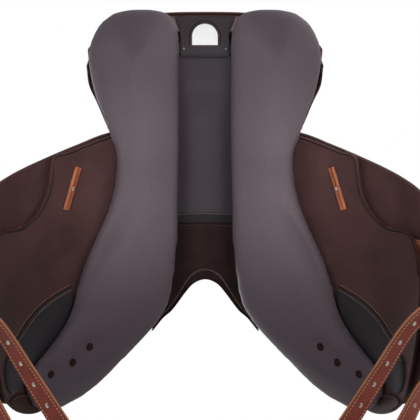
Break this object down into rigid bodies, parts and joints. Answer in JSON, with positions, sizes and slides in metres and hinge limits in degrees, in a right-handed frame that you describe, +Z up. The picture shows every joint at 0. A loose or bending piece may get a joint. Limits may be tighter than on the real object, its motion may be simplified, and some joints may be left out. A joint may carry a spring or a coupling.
{
  "type": "jumping saddle",
  "caption": "English jumping saddle with a deep seat, forward flaps, stuffed panels, knee pads, stirrup bars and hanging billets; flaps, skirts, billets, bar catches and dee rings move",
  "frame": {"origin": "on the middle plane, at the level of the panels' bearing side near the pommel, where the saddle rests on a rack or a horse", "axes": "+Z up, front of the saddle towards -Y, the rider's left towards +X"},
  "size_m": [0.6244, 0.5217, 0.6342],
  "materials": {
    "bar_catch_left": "polished stainless steel",
    "bar_catch_right": "polished stainless steel",
    "billet_front_left": "chestnut bridle leather, stitched",
    "billet_front_right": "chestnut bridle leather, stitched",
    "billet_keeper_left": "chestnut bridle leather, stitched",
    "billet_keeper_right": "chestnut bridle leather, stitched",
    "billet_rear_left": "chestnut bridle leather, stitched",
    "billet_rear_right": "chestnut bridle leather, stitched",
    "billet_webbing_left": "woven flax webbing",
    "billet_webbing_right": "woven flax webbing",
    "cantle_facing": "dark brown leather",
    "cantle_plate": "plain spring steel",
    "channel_band": "dark brown leather",
    "channel_lining": "dark brown leather",
    "corner_patch_left": "dark brown leather",
    "corner_patch_right": "dark brown leather",
    "flap_left": "dark brown leather",
    "flap_right": "dark brown leather",
    "flap_top_left": "dark brown leather",
    "flap_top_right": "dark brown leather",
    "front_chape_left": "dark brown leather",
    "front_chape_right": "dark brown leather",
    "front_dee_left": "polished stainless steel",
    "front_dee_right": "polished stainless steel",
    "gullet_lining": "dark brown leather",
    "gullet_plate": "plain spring steel",
    "head_plate": "plain spring steel",
    "knee_block_left": "dark brown leather",
    "knee_block_right": "dark brown leather",
    "knee_pad_left": "dark brown leather",
    "knee_pad_right": "dark brown leather",
    "panel_left": "soft dark grey-brown leather, stuffed",
    "panel_right": "soft dark grey-brown leather, stuffed",
    "point_left": "plain spring steel",
    "point_right": "plain spring steel",
    "pommel_facing": "dark brown leather",
    "rear_badge": "plain white, unmarked",
    "rear_chape_left": "dark brown leather",
    "rear_chape_right": "dark brown leather",
    "rear_dee_left": "polished stainless steel",
    "rear_dee_right": "polished stainless steel",
    "rear_gusset": "dark brown leather",
    "saddle_nail_left": "polished stainless steel",
    "saddle_nail_right": "polished stainless steel",
    "seat_cover": "dark brown leather",
    "seat_foam": "open foam",
    "seat_piping": "dark brown leather",
    "seat_webbing_cross": "woven flax webbing",
    "seat_webbing_left": "woven flax webbing",
    "seat_webbing_right": "woven flax webbing",
    "skirt_left": "dark brown leather",
    "skirt_right": "dark brown leather",
    "stirrup_bar_left": "plain spring steel",
    "stirrup_bar_right": "plain spring steel",
    "sweat_flap_left": "dark brown leather",
    "sweat_flap_right": "dark brown leather",
    "thigh_block_left": "dark brown leather",
    "thigh_block_right": "dark brown leather",
    "tree_frame": "varnished beech laminate"
  },
  "bodies": {
    "saddle": {"billet_keeper_left": "billet_keeper_left", "billet_keeper_right": "billet_keeper_right", "billet_webbing_left": "billet_webbing_left", "billet_webbing_right": "billet_webbing_right", "cantle_facing": "cantle_facing", "cantle_plate": "cantle_plate", "channel_band": "channel_band", "channel_lining": "channel_lining", "corner_patch_left": "corner_patch_left", "corner_patch_right": "corner_patch_right", "flap_top_left": "flap_top_left", "flap_top_right": "flap_top_right", "front_chape_left": "front_chape_left", "front_chape_right": "front_chape_right", "gullet_lining": "gullet_lining", "gullet_plate": "gullet_plate", "head_plate": "head_plate", "knee_block_left": "knee_block_left", "knee_block_right": "knee_block_right", "knee_pad_left": "knee_pad_left", "knee_pad_right": "knee_pad_right", "panel_left": "panel_left", "panel_right": "panel_right", "point_left": "point_left", "point_right": "point_right", "pommel_facing": "pommel_facing", "rear_badge": "rear_badge", "rear_chape_left": "rear_chape_left", "rear_chape_right": "rear_chape_right", "rear_gusset": "rear_gusset", "saddle_nail_left": "saddle_nail_left", "saddle_nail_right": "saddle_nail_right", "seat_cover": "seat_cover", "seat_foam": "seat_foam", "seat_piping": "seat_piping", "seat_webbing_cross": "seat_webbing_cross", "seat_webbing_left": "seat_webbing_left", "seat_webbing_right": "seat_webbing_right", "stirrup_bar_left": "stirrup_bar_left", "stirrup_bar_right": "stirrup_bar_right", "sweat_flap_left": "sweat_flap_left", "sweat_flap_right": "sweat_flap_right", "thigh_block_left": "thigh_block_left", "thigh_block_right": "thigh_block_right", "tree_frame": "tree_frame"},
    "flap_left": {"flap_left": "flap_left"},
    "flap_right": {"flap_right": "flap_right"},
    "skirt_left": {"skirt_left": "skirt_left"},
    "skirt_right": {"skirt_right": "skirt_right"},
    "billet_front_left": {"billet_front_left": "billet_front_left"},
    "billet_front_right": {"billet_front_right": "billet_front_right"},
    "billet_rear_left": {"billet_rear_left": "billet_rear_left"},
    "billet_rear_right": {"billet_rear_right": "billet_rear_right"},
    "bar_catch_left": {"bar_catch_left": "bar_catch_left"},
    "bar_catch_right": {"bar_catch_right": "bar_catch_right"},
    "front_dee_left": {"front_dee_left": "front_dee_left"},
    "front_dee_right": {"front_dee_right": "front_dee_right"},
    "rear_dee_left": {"rear_dee_left": "rear_dee_left"},
    "rear_dee_right": {"rear_dee_right": "rear_dee_right"}
  },
  "joints": [
    {"name": "flap_lift_left", "type": "hinge", "parent": "saddle", "child": "flap_left", "pos_m": [0.18805, 0, -0.06742], "axis": [0, -1, 0], "range_deg": [0, 60]},
    {"name": "flap_lift_right", "type": "hinge", "parent": "saddle", "child": "flap_right", "pos_m": [-0.18805, 0, -0.06742], "axis": [0, 1, 0], "range_deg": [0, 60]},
    {"name": "skirt_lift_left", "type": "hinge", "parent": "saddle", "child": "skirt_left", "pos_m": [0.0821, 0, 0.03548], "axis": [-0.1384, -0.9887, 0.0584], "range_deg": [0, 70]},
    {"name": "skirt_lift_right", "type": "hinge", "parent": "saddle", "child": "skirt_right", "pos_m": [-0.0821, 0, 0.03548], "axis": [-0.1384, 0.9887, -0.0584], "range_deg": [0, 70]},
    {"name": "billet_swing_front_left", "type": "hinge", "parent": "saddle", "child": "billet_front_left", "pos_m": [0.14589, -0.014, -0.03554], "axis": [0.6831, 0, 0.7304], "range_deg": [-5, 1]},
    {"name": "billet_swing_front_right", "type": "hinge", "parent": "saddle", "child": "billet_front_right", "pos_m": [-0.14589, -0.014, -0.03554], "axis": [0.6831, 0, -0.7304], "range_deg": [-5, 1]},
    {"name": "billet_swing_rear_left", "type": "hinge", "parent": "saddle", "child": "billet_rear_left", "pos_m": [0.14589, 0.025, -0.03554], "axis": [0.6831, 0, 0.7304], "range_deg": [-1, 5]},
    {"name": "billet_swing_rear_right", "type": "hinge", "parent": "saddle", "child": "billet_rear_right", "pos_m": [-0.14589, 0.025, -0.03554], "axis": [0.6831, 0, -0.7304], "range_deg": [-1, 5]},
    {"name": "catch_lift_left", "type": "hinge", "parent": "saddle", "child": "bar_catch_left", "pos_m": [0.13017, 0.0214, 0.00311], "axis": [0.776, 0, -0.6307], "range_deg": [0, 30]},
    {"name": "catch_lift_right", "type": "hinge", "parent": "saddle", "child": "bar_catch_right", "pos_m": [-0.13017, 0.0214, 0.00311], "axis": [0.776, 0, 0.6307], "range_deg": [0, 30]},
    {"name": "dee_swing_front_left", "type": "hinge", "parent": "saddle", "child": "front_dee_left", "pos_m": [0.12855, -0.149, -0.00384], "axis": [0, -1, 0], "range_deg": [0, 70]},
    {"name": "dee_swing_front_right", "type": "hinge", "parent": "saddle", "child": "front_dee_right", "pos_m": [-0.12855, -0.149, -0.00384], "axis": [0, 1, 0], "range_deg": [0, 70]},
    {"name": "dee_swing_rear_left", "type": "hinge", "parent": "saddle", "child": "rear_dee_left", "pos_m": [0.10865, 0.24005, 0.06742], "axis": [0.9486, -0.3164, 0], "range_deg": [0, 70]},
    {"name": "dee_swing_rear_right", "type": "hinge", "parent": "saddle", "child": "rear_dee_right", "pos_m": [-0.10865, 0.24005, 0.06742], "axis": [0.9486, 0.3164, 0], "range_deg": [0, 70]}
  ]
}
